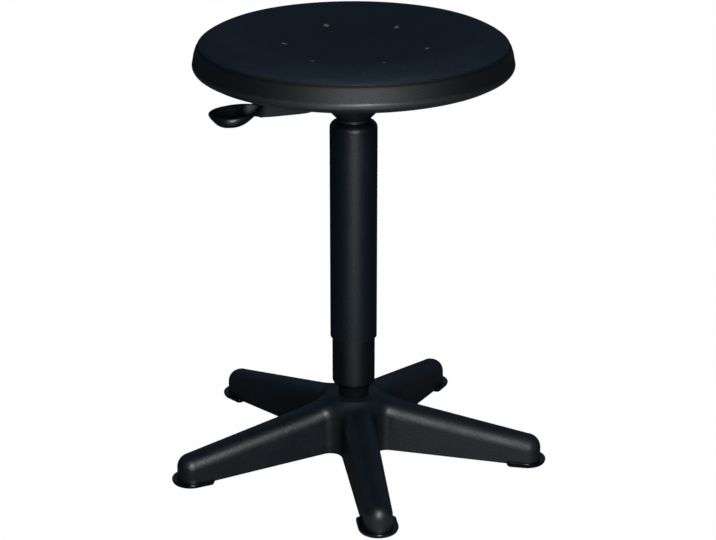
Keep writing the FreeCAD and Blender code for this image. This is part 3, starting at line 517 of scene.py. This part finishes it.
seatShape = seatMesh()
finishes["seat_foam"] = foamSkin("foamSkin")
seatPad = newPiece("seatPad", seatShape, "seat", "seat_foam")
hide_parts("seat_foam")
print("seat pad made")

# Lever handle
handle = {
    "turn": 218.0,
    "tilt": 2.5,
    "pivot": (0.0286, 0, 0.44856),
    "paddle": 0.1380,       # from the pivot to the middle of the paddle
    "paddleDrop": 0.0024,
    "paddleTilt": 0.8,
    "bowlSteps": 16,
    "stretch": 1.45,        # how much longer the bowl is on the side of the arm
    "sections": [(0.1000, 0.0160, 0.0060, -0.0116), (0.0620, 0.0156, 0.0062, -0.0164),
                 (0.0215, 0.0150, 0.0062, -0.0228)],   # along, width, top, bottom
    # section of the bowl at its sides, and where it is fuller at the front
    "bowl": [(0, -0.0082), (0.0100, -0.0082), (0.0134, -0.0070), (0.0180, -0.0030), (0.0226, 0.0016),
             (0.0245, 0.0040), (0.0247, 0.0054), (0.0238, 0.0061), (0.0222, 0.0060), (0.0206, 0.0044),
             (0.0168, -0.0006), (0.0110, -0.0048), (0, -0.0060)],
    "fullBowl": [(0, -0.0082), (0.0110, -0.0082), (0.0176, -0.0068), (0.0224, -0.0036), (0.0246, -0.0002),
                 (0.0249, 0.0024), (0.0238, 0.0050), (0.0222, 0.0060), (0.0204, 0.0058), (0.0186, 0.0030),
                 (0.0150, -0.0020), (0.0100, -0.0050), (0, -0.0060)],
    "frontTurn": 52.0,      # direction in which the bowl is fullest
    "frontReach": (0.3, 0.6),
    # faces of the bowl that the arm grows from: behind its middle, half width, and how they face
    "armSide": (0.022, 0.009),
    "armFacing": (-0.40, 0.6),
}

grip = {
    "tone": (0.0010, 0.0024, 0.0040),
    # painted light: the arm lighter than the paddle
    "armPaintedLightTone": (0.020, 0.030, 0.036),
    "armFrom": (0.032, 0.046),      # distances from the paddle's middle
    "rough": 0.36,
    "armRough": 0.28,
    "blotchRough": 0.08,
    "pit": 0.0012,
    "pitDepth": 0.00005,
    "pitRough": 0.10,
    "specular": 0.45,
    "paintedLightSpot": 0.1120,                 # painted light: a pale streaky spot where the bowl meets the arm, from the pivot along the arm
    "paintedLightSpotSize": (0.003, 0.012),
    "paintedLightSpotStreak": 0.003,
    "paintedLightSpotStrength": 1.4,
    "paintedLightSpotTone": (0.30, 0.30, 0.30),
}


def alongLever(distance):
    # where the lever is at this distance from its pivot, at the pivot's height
    spot = heading(handle["turn"]) * (distance + handle["pivot"][0])
    return (spot.x, spot.y, handle["pivot"][2])


def leverPlastic(name):
    # the paddle is rubbed smooth by hands, the arm keeps its fine grain; the arm's lighter tone and a pale
    # spot in the bowl are painted light
    paint = Paint(name)
    fine, broad = paint.pits(grip["pit"]), paint.blotches()
    onArm = paint.step(paint.distance(alongLever(handle["paddle"])), *grip["armFrom"])
    # painted light: a lighter tone on the arm
    tone = paint.blend(onArm, colour(*grip["tone"]), colour(*grip["armPaintedLightTone"]))
    # painted light: a pale streaky spot in the bowl by the arm
    paintedLightSpotMask = 1 - paint.step(paint.distance(alongLever(grip["paintedLightSpot"])), *grip["paintedLightSpotSize"])
    streaks = paint.noise(grip["paintedLightSpotStreak"], 3.0, 0.6)
    mottledWithPaintedLight = paint.blend(paintedLightSpotMask * streaks * grip["paintedLightSpotStrength"], paint.stained(broad, tone),
                          colour(*grip["paintedLightSpotTone"]))
    rough = (grip["rough"] + onArm * grip["armRough"] + (broad - 0.5) * grip["blotchRough"]
             + (fine - 0.5) * grip["pitRough"])
    return paint.finish({"Base Color": mottledWithPaintedLight, "Roughness": rough, "Specular IOR Level": grip["specular"],
                         "Normal": paint.bump(fine, grip["pitDepth"])})


def paddleMesh():
    # a spun bowl, made fuller at the front and drawn out towards the arm
    mesh = spun(handle["bowl"], handle["bowlSteps"])
    front = heading(handle["frontTurn"])
    start, spread = handle["frontReach"]
    for vert in mesh.verts:
        reach = vert.co.xy.length
        if reach < 1e-4:    # the bowl's poles
            continue
        k = min(range(len(handle["bowl"])), key=lambda i: math.dist(handle["bowl"][i], (reach, vert.co.z)))
        share = min(1, max(0, (vert.co.xy.normalized().dot(front) - start) / spread))
        fullReach, fullHeight = handle["fullBowl"][k]
        arm = vert.co.xy.normalized() * (reach + (fullReach - reach) * share)
        vert.co = (arm.x, arm.y, vert.co.z + (fullHeight - vert.co.z) * share)
    for vert in mesh.verts:
        if vert.co.x < 0:
            vert.co.x *= handle["stretch"]
    bmesh.ops.rotate(mesh, verts=mesh.verts, cent=(0, 0, 0), matrix=turned(handle["paddleTilt"], "Y"))
    bmesh.ops.translate(mesh, verts=mesh.verts, vec=(handle["paddle"], 0, -handle["paddleDrop"]))
    bmesh.ops.recalc_face_normals(mesh, faces=mesh.faces)
    return mesh


def handleMesh():
    mesh = paddleMesh()
    # the arm grows out of the side of the bowl that faces the hub
    behind, halfWidth = handle["armSide"]
    hubward, upward = handle["armFacing"]
    side = [face for face in mesh.faces
            if face.normal.x < hubward and face.calc_center_median().x < handle["paddle"] - behind
            and abs(face.calc_center_median().y) < halfWidth and face.normal.z < upward]
    for along, width, top, bottom in handle["sections"]:
        grown = bmesh.ops.extrude_face_region(mesh, geom=side)
        bmesh.ops.delete(mesh, geom=side, context="FACES_ONLY")
        side = [item for item in grown["geom"] if isinstance(item, bmesh.types.BMFace)]
        verts = list({vert for face in side for vert in face.verts})
        heights = sorted({round(vert.co.z, 4) for vert in verts})
        low, high = heights[0], heights[-1]
        wide = max(abs(vert.co.y) for vert in verts)
        for vert in verts:
            share = (vert.co.z - low) / (high - low)
            vert.co = (along, vert.co.y / wide * width / 2, bottom + (top - bottom) * share)
    bmesh.ops.recalc_face_normals(mesh, faces=mesh.faces)
    place = (turned(handle["turn"], "Z", 4) @ Matrix.Translation(handle["pivot"])
             @ turned(handle["tilt"], "Y", 4))
    bmesh.ops.transform(mesh, matrix=place, verts=mesh.verts)
    return mesh


def rounded(piece, levels):
    smoother = piece.modifiers.new("rounding", "SUBSURF")
    smoother.levels = levels
    smoother.render_levels = levels


finishes["lever_plastic"] = leverPlastic("leverPlastic")
leverHandle = newPiece("leverHandle", handleMesh(), "lever", "lever_plastic")
rounded(leverHandle, 3)
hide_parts("lever_handle")
print("lever handle made")

# Finishes on the frame's own pieces
slotOf = {part["node"]: part["material_slot"] for part in frame["record"]["subparts"]}
for name, piece in nodes.items():
    piece.data.materials.clear()
    piece.data.materials.append(finishes[slotOf[name]])
print("frame pieces finished")

# Stage
studio = {
    "floorSize": 30.0,
    "floorTone": (0.10, 0.10, 0.10),
    "paperTone": (0.80, 0.80, 0.80),
    "paperSide": 0.24,      # half width of the pale paper between the stool and the lamp
    "paperNear": -0.24,     # where it starts in front of the stool
    "paperEdge": 0.1,
    "floorShown": 0.99,     # how white the camera sees the floor
    "mirrorShare": 0.01,    # share of the white that shows in gloss
    "roomTone": (0.38, 0.64, 1.0),
    "roomLight": 0.04,      # light from the sides
    "wallLight": 0.14,      # and from the pale wall behind
    "wallFrom": (0.2, 0.8),
    "lampWide": 0.5,
    "lampTall": 1.2,
    "lampAway": 2.0,
    "lampTurn": 7.0,
    "lampHeight": 20.0,
    "lampPower": 41.0,
    "lampAim": (0, 0, 0.25),
}


def makeFloor():
    mesh = bmesh.new()
    bmesh.ops.create_grid(mesh, x_segments=1, y_segments=1, size=studio["floorSize"] / 2)
    data = bpy.data.meshes.new("floor")
    mesh.to_mesh(data)
    mesh.free()
    floor = bpy.data.objects.new("floor", data)
    bpy.context.scene.collection.objects.link(floor)
    paint = Paint("paleFloor")
    camera, white = paint.whiteShare(studio["mirrorShare"])
    x, y, z = paint.axes()
    side, near, edge = studio["paperSide"], studio["paperNear"], studio["paperEdge"]
    paper = 1 - paint.step(paint.maths("ABSOLUTE", x), side - edge, side + edge)
    paper = paper * (1 - paint.step(y, near - edge, near + edge))
    pale = paint.maths("MAXIMUM", paper, camera)
    tone = paint.blend(pale, colour(*studio["floorTone"]), colour(*studio["paperTone"]))
    matt = paint.node("ShaderNodeBsdfDiffuse", {}, {"Color": tone})
    bright = paint.node("ShaderNodeEmission", {}, {"Color": colour(1, 1, 1), "Strength": 1.0})
    mixed = paint.node("ShaderNodeMixShader", {}, {0: white * studio["floorShown"], 1: matt, 2: bright})
    # seen from below, the floor isn't there
    below = paint.node("ShaderNodeNewGeometry", {}, {}, "Backfacing")
    clear = paint.node("ShaderNodeBsdfTransparent", {}, {})
    surface = paint.node("ShaderNodeMixShader", {}, {0: below, 1: mixed, 2: clear})
    paint.node("ShaderNodeOutputMaterial", {}, {"Surface": surface})
    data.materials.append(paint.material)


def lightRoom():
    world = bpy.data.worlds.new("room")
    bpy.context.scene.world = world
    world.use_nodes = True
    paint = Paint("room", world.node_tree)
    camera, white = paint.whiteShare(studio["mirrorShare"])
    x, y, z = paint.axes(paint.node("ShaderNodeTexCoord", {}, {}, "Generated"))
    wall = paint.step(y, *studio["wallFrom"])
    strength = studio["roomLight"] + wall * (studio["wallLight"] - studio["roomLight"])
    light = paint.node("ShaderNodeBackground", {},
                       {"Color": colour(*studio["roomTone"]), "Strength": strength})
    bright = paint.node("ShaderNodeBackground", {}, {"Color": colour(1, 1, 1), "Strength": 1.0})
    mixed = paint.node("ShaderNodeMixShader", {}, {0: white, 1: light, 2: bright})
    paint.node("ShaderNodeOutputWorld", {}, {"Surface": mixed})


def hangLamp():
    lamp = bpy.data.lights.new("softbox", "AREA")
    lamp.shape = "RECTANGLE"
    lamp.size = studio["lampWide"]
    lamp.size_y = studio["lampTall"]
    lamp.energy = studio["lampPower"]
    box = bpy.data.objects.new("softbox", lamp)
    bpy.context.scene.collection.objects.link(box)
    turn, height = math.radians(studio["lampTurn"]), math.radians(studio["lampHeight"])
    back = Vector((math.sin(turn) * math.cos(height), -math.cos(turn) * math.cos(height), math.sin(height)))
    box.location = Vector(studio["lampAim"]) + back * studio["lampAway"]
    box.rotation_euler = back.to_track_quat("Z", "Y").to_euler()


makeFloor()
lightRoom()
hangLamp()
print("stage lit")

# Camera
lens = {
    "place": (0.0002, -2.0465, 1.0066),
    "lookDown": 20.26,
    "sensor": 36,
    "focal": 94.97,
    "shiftX": 0.00593,
    "shiftY": -0.02802,
}
cameraData = bpy.data.cameras.new("camera")
cameraData.sensor_width = lens["sensor"]
cameraData.lens = lens["focal"]
cameraData.shift_x = lens["shiftX"]
cameraData.shift_y = lens["shiftY"]
cameraObject = bpy.data.objects.new("camera", cameraData)
cameraObject.location = lens["place"]
cameraObject.rotation_euler = (math.radians(90 - lens["lookDown"]), 0, 0)
bpy.context.scene.collection.objects.link(cameraObject)
bpy.context.scene.camera = cameraObject
bpy.context.scene.view_settings.view_transform = "Standard"
print("camera set")
